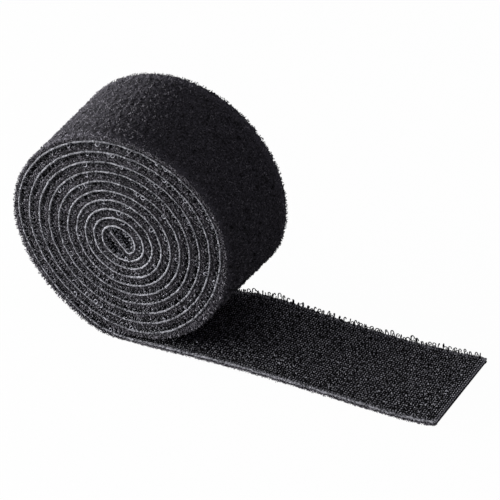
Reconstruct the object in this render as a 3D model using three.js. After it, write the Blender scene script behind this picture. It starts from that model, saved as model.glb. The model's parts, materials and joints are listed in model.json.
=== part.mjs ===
// A roll of back-to-back hook and loop tape, with its free end lying out flat.
// Millimetres. +Z is up and +X runs along the free end. The origin lies on the resting
// surface, under the middle of the winding, halfway across the tape.

import * as THREE from "three";

// The tape. Its hook face turns inward and up, its loop face outward and down.
const tapeWidth = 25;
const hookGround = 0.25;
const bondFilm = 0.1;
const loopTape = 1;
const hookHeight = 0.75;

// The winding. The tape starts in a flattened core and winds out clockwise, seen from the front.
const rollDiameter = 45.2;
const coreRadius = 1.4;
const outerLooseness = 0.06;
const coreNip = 0.26;
const flatCoreShare = 0.265;
const coreFoldTurnShare = 0.392;
const coreDrop = 0.65;
const coreDropAngle = THREE.MathUtils.degToRad(26);
const pressedPileShare = 0.5;

// The free end, in a lead that stays under the roll and panels that bend at fold lines.
const tailLength = 64;
const tailPanels = 4;
const leadShare = 0.5;

// The hooks that stand on the panels.
const hookRowPitch = 2.85;
const hookPitch = 1.67;
const hookStemRadius = 0.2;
const hookKneeRadius = 0.16;
const hookReach = 0.42;
const hookKneeTilt = THREE.MathUtils.degToRad(55);
const hookTipShare = 0.66;
const staggerShare = 0.25;

// Facets: steps in each turn, on the outer turns that show most and on the turns within.
const outerSteps = 24;
const innerSteps = 16;
const finelySteppedTurns = 4;
const leastStepShare = 0.35;
const searchedTurns = 0.25;

// Faces of the plies, by their distance from the hook face
const filmFace = hookGround;
const loopGroundFace = hookGround + bondFilm;
const loopFace = hookGround + bondFilm + loopTape;

// The pile that the tape rests on is pressed to this depth by the roll's weight.
const restDepth = pressedPileShare * loopTape;

// Pitch of the turns, which is the tape with its hooks, slack outside and nipped at the core
const outerPitch = loopFace + hookHeight + outerLooseness;
const innerPitch = loopFace + hookHeight - coreNip;
const meanPitch = (outerPitch + innerPitch) / 2;
const hookFaceRadius = (rollDiameter + outerPitch / 2) / 2 - loopFace;
const turns = (hookFaceRadius - coreRadius) / meanPitch;
const pitchLossPerTurn = (outerPitch - innerPitch) / turns;

// The core is a folded start, flatter than it is round, and every turn keeps some of that.
const fullTurn = 2 * Math.PI;
const foldTurn = turns - coreFoldTurnShare;
const ovalLobe = flatCoreShare * (coreRadius + coreFoldTurnShare * innerPitch);
const ovalAngle = fullTurn * foldTurn;

// How far the hook face reaches from the winding's middle, along the face's normal, after a
// number of turns inward from the point where the free end leaves. At zero the normal is -Z.
function reach(turn) {
  const angle = fullTurn * turn;
  const spiral = hookFaceRadius - outerPitch * turn + (pitchLossPerTurn * turn * turn) / 2;
  const oval = ovalLobe * Math.cos(2 * (angle - ovalAngle));
  const sag = coreDrop * (turn / turns) * Math.cos(angle - coreDropAngle);
  return spiral + oval + sag;
}

// The change of that reach for each radian of turning.
function reachSlope(turn) {
  const angle = fullTurn * turn;
  const spiral = (pitchLossPerTurn * turn - outerPitch) / fullTurn;
  const oval = -2 * ovalLobe * Math.sin(2 * (angle - ovalAngle));
  const sagGrowth = (coreDrop / turns / fullTurn) * Math.cos(angle - coreDropAngle);
  const sagTurning = -coreDrop * (turn / turns) * Math.sin(angle - coreDropAngle);
  return spiral + oval + sagGrowth + sagTurning;
}

// The middle of the winding sits so high that the loop face would dip under the surface by
// the depth that its pile is pressed.
const axisHeight = reach(0) + loopFace - restDepth;

// A point of the winding's profile, at a distance outward from the hook face.
function windingPoint(turn, outward) {
  const angle = fullTurn * turn;
  const along = reach(turn) + outward;
  const across = reachSlope(turn);
  const x = -along * Math.sin(angle) - across * Math.cos(angle);
  const z = axisHeight - along * Math.cos(angle) + across * Math.sin(angle);
  return new THREE.Vector2(x, Math.max(z, 0));
}

// The turn at which the loop face lifts off the resting surface, halved until it is exact.
function liftTurn() {
  let low = 0;
  let high = searchedTurns;
  let middle = (low + high) / 2;
  while (middle > low && middle < high) {
    if (windingPoint(middle, loopFace).y > 0) high = middle;
    else low = middle;
    middle = (low + high) / 2;
  }
  return high;
}

// The turns at which the winding's profile has its corners.
function windingStations() {
  const lift = liftTurn();
  const list = [0, lift];
  let turn = 0;
  let step = 1 / outerSteps;
  while (turn + step * (1 + leastStepShare) < turns) {
    turn += step;
    if (turn > lift + step * leastStepShare) list.push(turn);
    if (turn > finelySteppedTurns - step / 2) step = 1 / innerSteps;
  }
  list.push(turns);
  return list;
}

const stations = windingStations();

// Collects the triangles of one closed solid.
class Solid {
  constructor() {
    this.numbers = [];
  }

  triangle(a, b, c) {
    for (const point of [a, b, c]) this.numbers.push(point.x, point.y, point.z);
  }

  quad(a, b, c, d) {
    this.triangle(a, b, c);
    this.triangle(a, c, d);
  }

  mesh(name, material) {
    const geometry = new THREE.BufferGeometry();
    geometry.setAttribute("position", new THREE.Float32BufferAttribute(this.numbers, 3));
    geometry.computeVertexNormals();
    const mesh = new THREE.Mesh(geometry, material);
    mesh.name = name;
    return mesh;
  }
}

// The four corners of a ply's section: the near and far edge of its hook side, then the far
// and near edge of its loop side.
function sectionCorners(hookSide, loopSide) {
  const near = -tapeWidth / 2;
  const far = tapeWidth / 2;
  return [
    new THREE.Vector3(hookSide.x, near, hookSide.y),
    new THREE.Vector3(hookSide.x, far, hookSide.y),
    new THREE.Vector3(loopSide.x, far, loopSide.y),
    new THREE.Vector3(loopSide.x, near, loopSide.y),
  ];
}

// A ply as one unbroken strip through its sections. The hook side can be left for hooks.
function plyStrip(sections, openHookSide = false) {
  const solid = new Solid();
  for (let i = 0; i + 1 < sections.length; i += 1) {
    const here = sections[i];
    const next = sections[i + 1];
    for (let side = openHookSide ? 1 : 0; side < here.length; side += 1) {
      const other = (side + 1) % here.length;
      solid.quad(here[side], here[other], next[other], next[side]);
    }
  }
  const [a, b, c, d] = sections[0];
  solid.quad(a, d, c, b);
  solid.quad(...sections[sections.length - 1]);
  return solid;
}

// A ply of the winding, between two distances from the hook face.
function windingPly(name, inner, outer, material) {
  const sections = stations.map((turn) =>
    sectionCorners(windingPoint(turn, inner), windingPoint(turn, outer)),
  );
  return plyStrip(sections).mesh(name, material);
}

// The free end runs on from the winding's lowest point, its pile pressed flat.
const tailStart = windingPoint(0, 0).x;
const hookFaceHeight = loopFace - restDepth;
const panelLength = tailLength / (tailPanels + leadShare);
const leadLength = leadShare * panelLength;

// The place of the fold line in front of a panel, and of the free end's cut edge after the last.
function foldLine(index) {
  return tailStart + leadLength + index * panelLength;
}

// The two sections of a flat ply, from its far end back to its near end.
function flatSections(start, end, inner, outer) {
  const top = hookFaceHeight - inner;
  const bottom = Math.max(hookFaceHeight - outer, 0);
  return [end, start].map((x) =>
    sectionCorners(new THREE.Vector2(x, top), new THREE.Vector2(x, bottom)),
  );
}

function flatPly(name, start, end, inner, outer, material) {
  return plyStrip(flatSections(start, end, inner, outer)).mesh(name, material);
}

// A triangle of points round a strand of a hook, tipped forward by an angle.
function strandRing(centre, radius, tilt, facing) {
  return [0, 1, 2].map((corner) => {
    const angle = Math.PI + (corner * fullTurn) / 3;
    const forward = radius * Math.cos(angle) * Math.cos(tilt);
    const rise = -radius * Math.cos(angle) * Math.sin(tilt);
    return new THREE.Vector3(
      centre.x + facing * forward,
      centre.y + facing * radius * Math.sin(angle),
      centre.z + rise,
    );
  });
}

// One hook: a stem that rises from its foot, and a knee that bends over to a point.
function addHook(solid, foot, facing) {
  const kneeHeight = hookHeight - hookKneeRadius * Math.sin(hookKneeTilt);
  const kneeCentre = foot.clone().add(new THREE.Vector3(0, 0, kneeHeight));
  const stem = strandRing(foot, hookStemRadius, 0, facing);
  const knee = strandRing(kneeCentre, hookKneeRadius, hookKneeTilt, facing);
  const tip = foot.clone().add(new THREE.Vector3(facing * hookReach, 0, hookHeight * hookTipShare));
  for (let corner = 0; corner < stem.length; corner += 1) {
    const other = (corner + 1) % stem.length;
    solid.quad(stem[corner], stem[other], knee[other], knee[corner]);
    solid.triangle(knee[corner], knee[other], tip);
  }
  return stem;
}

// The feet of one panel's hooks, in rows across the tape whose hooks face by turns each way.
function hookFeet(start, end) {
  const rows = Math.max(Math.round((end - start) / hookRowPitch), 1);
  const columns = Math.max(Math.round(tapeWidth / hookPitch), 1);
  const rowStep = (end - start) / rows;
  const columnStep = tapeWidth / columns;
  const feet = [];
  for (let row = 0; row < rows; row += 1) {
    for (let column = 0; column < columns; column += 1) {
      const facing = column % 2 ? 1 : -1;
      const stagger = row % 2 ? staggerShare : -staggerShare;
      const x = start + (row + 1 / 2) * rowStep;
      const y = (column + 1 / 2 + (stagger * facing) / 2) * columnStep - tapeWidth / 2;
      feet.push({ foot: new THREE.Vector3(x, y, hookFaceHeight), facing });
    }
  }
  return feet;
}

// A panel of the hook tape, whose hooks stand out of its face as part of it.
function hookPanel(name, start, end, material) {
  const sections = flatSections(start, end, 0, filmFace);
  const solid = plyStrip(sections, true);
  const [far, near] = sections;
  const outline = [near[0], far[0], far[1], near[1]];
  const stems = hookFeet(start, end).map(({ foot, facing }) => addHook(solid, foot, facing));
  const points = [outline, ...stems].flat();
  const flat = (ring) => ring.map((point) => new THREE.Vector2(point.x, point.y));
  const faces = THREE.ShapeUtils.triangulateShape(flat(outline), stems.map(flat));
  for (const [a, b, c] of faces) solid.triangle(points[a], points[b], points[c]);
  return solid.mesh(name, material);
}

// The least distance from a point to the stretch of a line between two others.
function distanceToEdge(point, start, end) {
  const edge = end.clone().sub(start);
  const along = point.clone().sub(start).dot(edge) / edge.lengthSq();
  const foot = start.clone().addScaledVector(edge, THREE.MathUtils.clamp(along, 0, 1));
  return foot.distanceTo(point);
}

// The least room between the hook face of one turn and the loop face of another.
function leastGap() {
  const hookPoints = stations.map((turn) => windingPoint(turn, 0));
  const loopPoints = stations.map((turn) => windingPoint(turn, loopFace));
  let least = Infinity;
  stations.forEach((turn, i) => {
    for (let j = 0; j + 1 < stations.length; j += 1) {
      if (Math.abs(stations[j] - turn) < 1 / 2) continue;
      const fromHooks = distanceToEdge(hookPoints[i], loopPoints[j], loopPoints[j + 1]);
      const fromLoops = distanceToEdge(loopPoints[i], hookPoints[j], hookPoints[j + 1]);
      least = Math.min(least, fromHooks, fromLoops);
    }
  });
  return least;
}

// The length of tape in the winding, along its hook face.
function woundLength() {
  let length = 0;
  for (let i = 0; i + 1 < stations.length; i += 1) {
    const here = windingPoint(stations[i], 0);
    length += here.distanceTo(windingPoint(stations[i + 1], 0));
  }
  return length;
}

const hookNylon = new THREE.MeshStandardMaterial({
  name: "woven nylon hook tape",
  color: 0x54555a,
  roughness: 0.72,
  metalness: 0,
});
const adhesive = new THREE.MeshStandardMaterial({
  name: "laminating adhesive film",
  color: 0x17181b,
  roughness: 0.5,
  metalness: 0,
});
const loopNylon = new THREE.MeshStandardMaterial({
  name: "napped nylon loop tape",
  color: 0x2c2d32,
  roughness: 0.95,
  metalness: 0,
});

// Each ply by its name, its two faces and its material, from the hook face outward
const plies = [
  { name: "hook_tape", inner: 0, outer: filmFace, material: hookNylon },
  { name: "bond_film", inner: filmFace, outer: loopGroundFace, material: adhesive },
  { name: "loop_tape", inner: loopGroundFace, outer: loopFace, material: loopNylon },
];

const roll = new THREE.Group();
for (const { name, inner, outer, material } of plies) {
  roll.add(windingPly(`${name}_winding`, inner, outer, material));
  roll.add(flatPly(`${name}_lead`, tailStart, foldLine(0), inner, outer, material));
}

for (let panel = 0; panel < tailPanels; panel += 1) {
  const start = foldLine(panel);
  const end = foldLine(panel + 1);
  for (const { name, inner, outer, material } of plies) {
    const piece = `${name}_panel_${panel + 1}`;
    if (name === "hook_tape") roll.add(hookPanel(piece, start, end, material));
    else roll.add(flatPly(piece, start, end, inner, outer, material));
  }
}

console.log("turns", turns.toFixed(3), "least gap between turns", leastGap().toFixed(3));
console.log("wound length", woundLength().toFixed(1), "hook face height", hookFaceHeight.toFixed(3));
for (let panel = 0; panel <= tailPanels; panel += 1) {
  console.log("fold line", panel, foldLine(panel).toFixed(4));
}

export default roll;
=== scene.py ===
"""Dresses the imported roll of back-to-back hook and loop tape to match its photograph.

Every thread, hook and fibre is laid out on the flat tape first, by how far along the tape it
lies, how far outward from the hook face and how far across. The tape's path then carries it to
its place on the winding or on the free end. Sizes are in millimetres until a mesh is made.
"""

from __future__ import annotations

import json
import logging
import math
from dataclasses import dataclass, replace
from enum import Enum

import bpy
import numpy as np
from mathutils import Matrix, Vector


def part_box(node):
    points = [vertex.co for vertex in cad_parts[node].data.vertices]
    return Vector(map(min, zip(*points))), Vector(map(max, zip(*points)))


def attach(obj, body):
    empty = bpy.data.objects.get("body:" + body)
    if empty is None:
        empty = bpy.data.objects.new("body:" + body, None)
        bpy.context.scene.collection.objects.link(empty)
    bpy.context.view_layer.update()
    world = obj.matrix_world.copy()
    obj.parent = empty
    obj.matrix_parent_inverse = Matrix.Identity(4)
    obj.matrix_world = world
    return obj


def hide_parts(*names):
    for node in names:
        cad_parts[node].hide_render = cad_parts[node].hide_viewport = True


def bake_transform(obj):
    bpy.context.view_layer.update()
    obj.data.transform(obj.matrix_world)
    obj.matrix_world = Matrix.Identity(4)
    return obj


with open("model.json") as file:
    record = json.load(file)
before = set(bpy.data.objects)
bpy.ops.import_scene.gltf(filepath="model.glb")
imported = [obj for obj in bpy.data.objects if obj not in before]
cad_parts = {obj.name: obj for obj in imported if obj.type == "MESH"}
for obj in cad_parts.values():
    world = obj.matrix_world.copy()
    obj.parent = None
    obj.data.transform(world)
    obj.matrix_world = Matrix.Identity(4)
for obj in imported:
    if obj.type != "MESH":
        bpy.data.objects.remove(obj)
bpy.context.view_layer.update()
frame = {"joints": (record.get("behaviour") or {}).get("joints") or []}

log = logging.getLogger("tape roll")

MILLIMETRE = 0.001
FULL_TURN = 2 * math.pi

# The weave of the hook tape, in millimetres, which its relief, colours and hooks all follow.
PICK_PITCH = 0.52
WARP_PITCH = 0.68

# How strongly solid nylon bends light.
NYLON_IOR = 1.53

# Marks on the corners of every piece, which its finish reads.
TAPE_PLACE = "tape_place"
STRAND_TONE = "strand_tone"


class Ply(Enum):
    """The layers of the tape, named as their nodes and their material slots are."""

    HOOK = "hook_tape"
    FILM = "bond_film"
    LOOP = "loop_tape"


class Edge(Enum):
    """The two long edges of the tape, as signs along the axis of the roll."""

    FRONT = -1
    BACK = 1


def node_box(node: str) -> np.ndarray:
    """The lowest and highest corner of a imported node, in millimetres."""
    low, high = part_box(node)
    return np.array([low, high]) / MILLIMETRE


def smoothstep(values: np.ndarray) -> np.ndarray:
    """Eases from 0 to 1 as the values go from 0 to 1.

    Args:
        values: Numbers, clipped to the range from 0 to 1.

    Returns:
        The eased numbers, with the shape of the input.
    """
    share = np.clip(values, 0, 1)
    return share * share * (3 - 2 * share)


def bell(values: np.ndarray) -> np.ndarray:
    """Falls off from 1 at 0, on both sides, to about a third at 1."""
    return np.exp(-(values**2))


def unit(vectors: np.ndarray, least: float = 0.0) -> np.ndarray:
    """Vectors of length one along the last axis, where the least is added to the lengths."""
    return vectors / (np.linalg.norm(vectors, axis=-1, keepdims=True) + least)


def stations(start: float, end: float, step: float) -> np.ndarray:
    """Evenly spaced places from start to end, about a step apart."""
    return np.linspace(start, end, max(round((end - start) / step), 1) + 1)


def place_seed(travel: float) -> int:
    """Tenths of a millimetre along the tape, which set apart the seeds of what starts there."""
    return round(10 * abs(travel))


def new_object(name: str, data: bpy.types.ID) -> bpy.types.Object:
    """Makes an object and adds it to the scene.

    Args:
        name: The object's name.
        data: Its mesh, lamp or camera.

    Returns:
        The new object.
    """
    made = bpy.data.objects.new(name, data)
    bpy.context.scene.collection.objects.link(made)
    return made


@dataclass(frozen=True)
class TapeSizes:
    """Sizes of the flat tape and of its free end, in millimetres.

    Distances outward are measured from the hook face, through the tape to the loop face.
    """

    width: float
    face_height: float
    film_face: float
    loop_ground_face: float
    leave_x: float
    cut_x: float
    fold_lines: tuple[float, ...]
    loop_face: float = 1.35
    hook_height: float = 0.75

    @classmethod
    def from_frame(cls) -> TapeSizes:
        """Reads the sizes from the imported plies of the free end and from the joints.

        Returns:
            The sizes.
        """
        hook = node_box("hook_tape_lead")
        film = node_box("bond_film_lead")
        cut = node_box("loop_tape_panel_4")
        folds = tuple(joint["pos_m"][0] / MILLIMETRE for joint in frame["joints"])
        return cls(
            width=hook[1, 1] - hook[0, 1],
            face_height=hook[1, 2],
            film_face=hook[1, 2] - hook[0, 2],
            loop_ground_face=hook[1, 2] - film[0, 2],
            leave_x=hook[0, 0],
            cut_x=cut[1, 0],
            fold_lines=folds,
        )


@dataclass(frozen=True)
class EdgeLift:
    """How one long edge of the free end rises off the surface, in millimetres.

    It humps where the tape remembers the roll, and its cut end curls up a little.
    """

    hump: float
    crest_x: float
    rise_run: float
    fall_run: float
    curl: float
    curl_start_x: float

    def at(self, x: np.ndarray, cut_x: float) -> np.ndarray:
        """The lift at places along the free end.

        Args:
            x: Places along the free end.
            cut_x: Where the free end is cut off.

        Returns:
            The height that the edge is raised by.
        """
        run = np.where(x < self.crest_x, self.rise_run, self.fall_run)
        hump = self.hump * bell((x - self.crest_x) / run)
        curl_share = np.clip((x - self.curl_start_x) / (cut_x - self.curl_start_x), 0, None)
        return hump + self.curl * curl_share**2


@dataclass(frozen=True)
class Lobe:
    """A wave round a turn, off the true spiral: how many lobes, how high and at which angle."""

    count: int
    height: float
    angle: float

    def at(self, angle: np.ndarray) -> np.ndarray:
        """How far it stands off at angles round the roll."""
        return self.height * np.cos(self.count * (angle - self.angle))


@dataclass(frozen=True)
class Fluff:
    """A stretch of the outer turn where nothing presses the pile, and its front stands up."""

    turn: float
    run_turns: float
    share: float

    def at(self, turn: np.ndarray, back: np.ndarray) -> np.ndarray:
        """The share by which the pile is thicker.

        Args:
            turn: Turns inward from where the free end leaves.
            back: How far toward the back edge, from 0 to 1.

        Returns:
            Shares of the pile's depth.
        """
        return bell((turn - self.turn) / self.run_turns) * (self.share * (1 - back))


class TapePath:
    """Carries places on the flat tape to the roll and its free end.

    Travel counts from the point where the free end leaves the roll. It is positive along the
    winding, toward the core, and negative along the free end. The winding follows the same
    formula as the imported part, and its outer turns are also bulged as the photograph shows.
    """

    roll_diameter = 45.2
    core_radius = 1.4
    outer_looseness = 0.06
    core_nip = 0.26
    flat_core_share = 0.265
    core_fold_turn_share = 0.392
    core_drop = 0.65
    core_drop_angle = math.radians(26)

    front_lobes = (
        Lobe(1, 0.35, math.radians(-160)),
        Lobe(2, 0.31, math.radians(-82)),
        Lobe(3, 0.56, math.radians(-8.6)),
        Lobe(4, 0.18, math.radians(-11.7)),
    )
    back_swell = 0.92
    back_lobes = (
        Lobe(1, 0.62, math.radians(178)),
        Lobe(2, 0.45, math.radians(-43)),
        Lobe(3, 0.15, math.radians(-38)),
    )
    settling_turns = 0.12
    lobe_fade_power = 3
    nip_turn = 0.9
    nip_sharpness = 12
    core_lobes = (Lobe(0, 0.55, 0), Lobe(2, 0.22, math.radians(5.5)))
    core_growth_power = 3
    core_share_power = 4
    core_fold_turns = 0.269
    core_fold_radius = 0.7
    core_flap_angle = math.radians(44.6)
    core_flap_length = 4.7
    fluffs = (Fluff(0.165, 0.095, 0.6), Fluff(0.84, 0.085, 0.95))
    most_room = 0.8

    front_lift = EdgeLift(0.8, 28, 20, 24, 0.65, 57)
    back_lift = EdgeLift(1.22, 19.5, 7.5, 13.5, 0.95, 46)
    lift_start_run = 9

    cut_skew = 1.1
    cut_overrun = 0.2
    cut_skew_run = 30
    undercut = 0.75
    undercut_run = 3
    undercut_corner_power = 6

    press_softness = 0.05
    slope_step = 1e-3
    table_steps_per_turn = 720
    spare_turns = 0.12

    def __init__(self, sizes: TapeSizes) -> None:
        """Works out the winding's formula and its table of lengths.

        Args:
            sizes: The sizes of the flat tape.
        """
        self.sizes = sizes
        self.outer_pitch = sizes.loop_face + sizes.hook_height + self.outer_looseness
        inner_pitch = sizes.loop_face + sizes.hook_height - self.core_nip
        mean_pitch = (self.outer_pitch + inner_pitch) / 2
        self.face_radius = (self.roll_diameter + self.outer_pitch / 2) / 2 - sizes.loop_face
        self.turns = (self.face_radius - self.core_radius) / mean_pitch
        self.pitch_loss = (self.outer_pitch - inner_pitch) / self.turns
        fold_share = self.core_fold_turn_share
        self.oval_height = self.flat_core_share * (self.core_radius + fold_share * inner_pitch)
        self.oval_angle = FULL_TURN * (self.turns - fold_share)
        self.axis_height = sizes.face_height + float(self.reach(np.zeros(1), np.zeros(1))[0])
        steps = int((self.turns + self.spare_turns) * self.table_steps_per_turn)
        self.table_turns = np.linspace(0, self.turns + self.spare_turns, steps)
        face = self.wind(self.table_turns, np.zeros(steps), np.zeros(steps))
        run = np.linalg.norm(np.diff(face, axis=0), axis=1)
        self.table_travel = np.concatenate([[0], np.cumsum(run)])
        self.fold_turn = self.turns - self.core_fold_turns
        self.fold_travel = self.travel_at(self.fold_turn)
        self.fold_sweep = (self.core_flap_angle - FULL_TURN * self.fold_turn) % FULL_TURN
        self.length = self.fold_travel + self.core_fold_radius * self.fold_sweep + self.core_flap_length

    def travel_at(self, turn: float) -> float:
        """The travel at which the winding has made so many turns."""
        return float(np.interp(turn, self.table_turns, self.table_travel))

    def core_share(self, travel: np.ndarray) -> np.ndarray:
        """How far in toward the core places lie, from 0 to 1, rising mostly near the core."""
        return (np.maximum(travel, 0) / self.length) ** self.core_share_power

    def bulge(self, turn: np.ndarray, across: np.ndarray) -> np.ndarray:
        """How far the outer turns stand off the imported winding.

        Args:
            turn: Turns inward from where the free end leaves.
            across: Places across the tape.

        Returns:
            The distance outward, which fades toward the core.
        """
        angle = FULL_TURN * turn
        back = across / self.sizes.width + 0.5
        front_shape = sum(lobe.at(angle) for lobe in self.front_lobes)
        back_shape = self.back_swell + sum(lobe.at(angle) for lobe in self.back_lobes)
        # The back edge stays in where the free end presses against the roll when it bends up
        nip = np.exp(self.nip_sharpness * (np.cos(angle - FULL_TURN * self.nip_turn) - 1))
        back_shape = back_shape * (1 - nip)
        shape = front_shape * (1 - back) + back_shape * back
        fade = np.clip(1 - turn / self.turns, 0, 1) ** self.lobe_fade_power
        return shape * fade * smoothstep(turn / self.settling_turns)

    def reach(self, turn: np.ndarray, across: np.ndarray) -> np.ndarray:
        """How far the hook face reaches from the winding's middle, along the face's normal.

        Args:
            turn: Turns inward from where the free end leaves.
            across: Places across the tape.

        Returns:
            The reach, in millimetres.
        """
        angle = FULL_TURN * turn
        spiral = self.face_radius - self.outer_pitch * turn + self.pitch_loss * turn**2 / 2
        oval = self.oval_height * np.cos(2 * (angle - self.oval_angle))
        sag = self.core_drop * (turn / self.turns) * np.cos(angle - self.core_drop_angle)
        core = sum(lobe.at(angle) for lobe in self.core_lobes)
        core = core * np.clip(turn / self.turns, 0, None) ** self.core_growth_power
        return spiral + oval + sag + core + self.bulge(turn, across)

    def fluffed(self, turn: np.ndarray, outward: np.ndarray, across: np.ndarray) -> np.ndarray:
        """Thickens the pile where nothing presses it.

        That is low on both sides of the outer turn, and inside wherever the next turn out
        stands clear of the hooks' reach.

        Args:
            turn: Turns inward from where the free end leaves.
            outward: Distances outward from the hook face.
            across: Places across the tape.

        Returns:
            The distances outward with the pile thickened.
        """
        sizes = self.sizes
        pile = np.maximum(outward - sizes.loop_ground_face, 0)
        fluff = sum(each.at(turn, across / sizes.width + 0.5) for each in self.fluffs)
        pitch = self.reach(turn - 1, across) - self.reach(turn, across)
        room = np.clip(pitch - sizes.loop_face - sizes.hook_height, 0, self.most_room)
        spring = np.where(turn > 1, room, 0) / (sizes.loop_face - sizes.loop_ground_face)
        return outward + pile * (fluff + spring)

    def wind(self, turn: np.ndarray, outward: np.ndarray, across: np.ndarray) -> np.ndarray:
        """Points on the winding.

        Args:
            turn: Turns inward from where the free end leaves.
            outward: Distances outward from the hook face.
            across: Places across the tape.

        Returns:
            The points, one row each.
        """
        angle = FULL_TURN * turn
        step = self.slope_step / FULL_TURN
        rise = self.reach(turn + step, across) - self.reach(turn - step, across)
        slope = rise / (2 * self.slope_step)
        along = self.reach(turn, across) + self.fluffed(turn, outward, across)
        x = -along * np.sin(angle) - slope * np.cos(angle)
        z = self.axis_height - along * np.cos(angle) + slope * np.sin(angle)
        return np.stack([x, across, z], axis=-1)

    def flap(self, past: np.ndarray, outward: np.ndarray, across: np.ndarray) -> np.ndarray:
        """Points on the tape's inner end, which folds back and lies straight through the core.

        Args:
            past: Travel past the start of the fold, at zero or more.
            outward: Distances outward from the hook face.
            across: Places across the tape.

        Returns:
            The points, one row each.
        """
        fold_angle = FULL_TURN * self.fold_turn
        angle = fold_angle + np.minimum(past / self.core_fold_radius, self.fold_sweep)
        straight = np.maximum(past - self.core_fold_radius * self.fold_sweep, 0)
        fold = self.wind(np.full(len(past), self.fold_turn), np.zeros(len(past)), across)
        radius = self.core_fold_radius
        x = fold[:, 0] + radius * math.sin(fold_angle) - (radius + outward) * np.sin(angle)
        z = fold[:, 2] + radius * math.cos(fold_angle) - (radius + outward) * np.cos(angle)
        return np.stack([x - straight * np.cos(angle), across, z + straight * np.sin(angle)], axis=-1)

    def lift(self, x: np.ndarray, across: np.ndarray) -> np.ndarray:
        """How far the free end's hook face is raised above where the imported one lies.

        Args:
            x: Places along the free end.
            across: Places across the tape.

        Returns:
            The heights.
        """
        back = across / self.sizes.width + 0.5
        front_height = self.front_lift.at(x, self.sizes.cut_x)
        back_height = self.back_lift.at(x, self.sizes.cut_x)
        start = smoothstep((x - self.sizes.leave_x) / self.lift_start_run)
        return start * (front_height * (1 - back) + back_height * back)

    def cut_shift(self, x: np.ndarray, outward: np.ndarray, across: np.ndarray) -> np.ndarray:
        """How far the hand-cut end departs from a square one.

        The cut runs a little askew, longer at the front, and the blades undercut the tape
        everywhere but at its corners.

        Args:
            x: Places along the free end.
            outward: Distances outward from the hook face.
            across: Places across the tape.

        Returns:
            The shift along the free end, which fades away from the cut.
        """
        side = across / self.sizes.width
        from_cut = x - self.sizes.cut_x
        near = smoothstep(from_cut / self.cut_skew_run + 1)
        inside = 1 - np.clip(2 * side, -1, 1) ** self.undercut_corner_power
        under = outward / self.sizes.loop_face * inside * smoothstep(from_cut / self.undercut_run + 1)
        return self.cut_skew * ((0.5 - side) * near) + self.cut_overrun * near - self.undercut * under

    def lay(self, travel: np.ndarray, outward: np.ndarray, across: np.ndarray) -> np.ndarray:
        """Points on the free end.

        Args:
            travel: Places along the tape, at zero or less.
            outward: Distances outward from the hook face.
            across: Places across the tape.

        Returns:
            The points, one row each.
        """
        x = self.sizes.leave_x - travel
        x = x + self.cut_shift(x, outward, across)
        step = self.slope_step
        tilt = (self.lift(x + step, across) - self.lift(x - step, across)) / (2 * step)
        level = 1 / np.sqrt(1 + tilt**2)
        z = self.sizes.face_height + self.lift(x, across) - outward * level
        return np.stack([x + outward * tilt * level, across, z], axis=-1)

    def place(self, flat: np.ndarray) -> np.ndarray:
        """Carries places on the flat tape to the object.

        Args:
            flat: Travel, distance outward and place across, along the last axis.

        Returns:
            Points of the same shape, none of them under the resting surface.
        """
        travel, outward, across = flat.reshape(-1, 3).T
        turn = np.interp(np.clip(travel, 0, self.fold_travel), self.table_travel, self.table_turns)
        wound = self.wind(turn, outward, across)
        folded = self.flap(np.maximum(travel - self.fold_travel, 0), outward, across)
        wound = np.where((travel > self.fold_travel)[:, None], folded, wound)
        laid = self.lay(np.minimum(travel, 0), outward, across)
        points = np.where((travel > 0)[:, None], wound, laid)
        points[:, 2] = self.press_softness * np.logaddexp(0, points[:, 2] / self.press_softness)
        return points.reshape(flat.shape)


@dataclass(frozen=True)
class Stretch:
    """A length of tape that one set of pieces covers, and how it moves.

    Its travel runs from start to end. A stretch with two bodies spans the fold line between them, and its
    pieces are tied to neither.
    """

    name: str
    start: float
    end: float
    bodies: tuple[str, ...]
    nodes: tuple[str, ...]
    fold_x: float = 0.0
    bend_run: float = 6.5

    @property
    def laid(self) -> bool:
        """Whether it lies on the free end, and not on the winding."""
        return self.end <= 0

    def stations(self, step: float) -> np.ndarray:
        """Evenly spaced places from its start to its end, about a step apart."""
        return stations(self.start, self.end, step)

    def attach(self, piece: bpy.types.Object, ply: Ply, sizes: TapeSizes) -> None:
        """Ties a finished piece to its body where the stretch has one, bakes its placement into its mesh
        where it spans two, and hides the imported nodes it stands for.

        Args:
            piece: The piece, with its final mesh.
            ply: The layer of tape that it belongs to.
            sizes: The sizes of the flat tape; not used.
        """
        if len(self.bodies) == 1:
            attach(piece, self.bodies[0])
        else:
            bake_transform(piece)
        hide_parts(*(f"{ply.value}_{node}" for node in self.nodes))


def tape_stretches(path: TapePath) -> list[Stretch]:
    """Divides the tape into the winding and the stretches of its free end.

    Each stretch of the free end runs from the middle of one panel to the middle of the next,
    so that it crosses one fold line.

    Args:
        path: The tape's path.

    Returns:
        The winding's stretch, and those of the free end from the roll outward.
    """
    sizes = path.sizes
    folds = sizes.fold_lines
    middles = [(near + far) / 2 for near, far in zip(folds, folds[1:])]
    bounds = [sizes.leave_x, *middles, sizes.cut_x]
    bodies = ["roll"] + [f"tail_{panel + 1}" for panel in range(len(folds))]
    nodes = ["lead"] + [f"panel_{panel + 1}" for panel in range(len(folds))]
    stretches = [Stretch("winding", 0, path.length, ("roll",), ("winding",))]
    for index, fold_x in enumerate(folds):
        last = index == len(folds) - 1
        stretches.append(
            Stretch(
                name=f"tail_{index + 1}",
                start=sizes.leave_x - bounds[index + 1],
                end=sizes.leave_x - bounds[index],
                bodies=(bodies[index], bodies[index + 1]),
                nodes=tuple(nodes[index : index + (2 if last else 1)]),
                fold_x=fold_x,
            )
        )
    return stretches


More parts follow.
